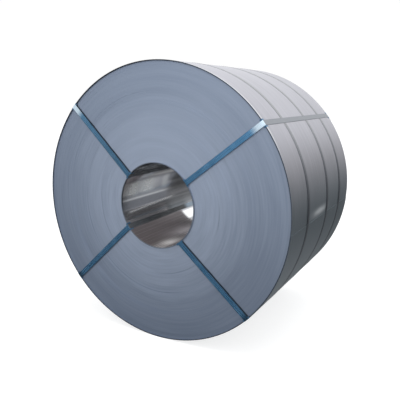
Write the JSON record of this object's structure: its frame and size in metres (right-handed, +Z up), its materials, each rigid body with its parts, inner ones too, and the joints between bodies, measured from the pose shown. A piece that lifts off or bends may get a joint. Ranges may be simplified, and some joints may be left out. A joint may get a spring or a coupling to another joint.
{
  "type": "steel coil",
  "caption": "Wound coil of hot-rolled steel strip lying on its barrel, held by girth straps and by straps through its eye, with corner guards and crimped seals.",
  "frame": {"origin": "on the floor, directly below the middle of the coil, which lies on its girth straps", "axes": "+Y along the eye, from the end shown in the picture to the far end; +Z up; +X to the right seen from the end at -Y"},
  "size_m": [1.6774, 1.2042, 1.6774],
  "materials": {
    "strip_steel": "hot-rolled and pickled strip, blue grey, with fine rings on the ends",
    "band_steel": "blued and waxed steel band, satin",
    "guard_steel": "dark blued sheet, satin",
    "seal_steel": "bare crimped sheet"
  },
  "bodies": {
    "root": {"bore_guard_back_1": "guard_steel", "bore_guard_back_2": "guard_steel", "bore_guard_back_3": "guard_steel", "bore_guard_back_4": "guard_steel", "bore_guard_front_1": "guard_steel", "bore_guard_front_2": "guard_steel", "bore_guard_front_3": "guard_steel", "bore_guard_front_4": "guard_steel", "coil": "strip_steel", "eye_seal_1": "seal_steel", "eye_seal_2": "seal_steel", "eye_seal_3": "seal_steel", "eye_seal_4": "seal_steel", "eye_strap_1": "band_steel", "eye_strap_2": "band_steel", "eye_strap_3": "band_steel", "eye_strap_4": "band_steel", "girth_seal_1": "seal_steel", "girth_seal_2": "seal_steel", "girth_seal_3": "seal_steel", "girth_strap_1": "band_steel", "girth_strap_2": "band_steel", "girth_strap_3": "band_steel", "rim_guard_back_1": "guard_steel", "rim_guard_back_2": "guard_steel", "rim_guard_back_3": "guard_steel", "rim_guard_back_4": "guard_steel", "rim_guard_front_1": "guard_steel", "rim_guard_front_2": "guard_steel", "rim_guard_front_3": "guard_steel", "rim_guard_front_4": "guard_steel"}
  },
  "joints": []
}
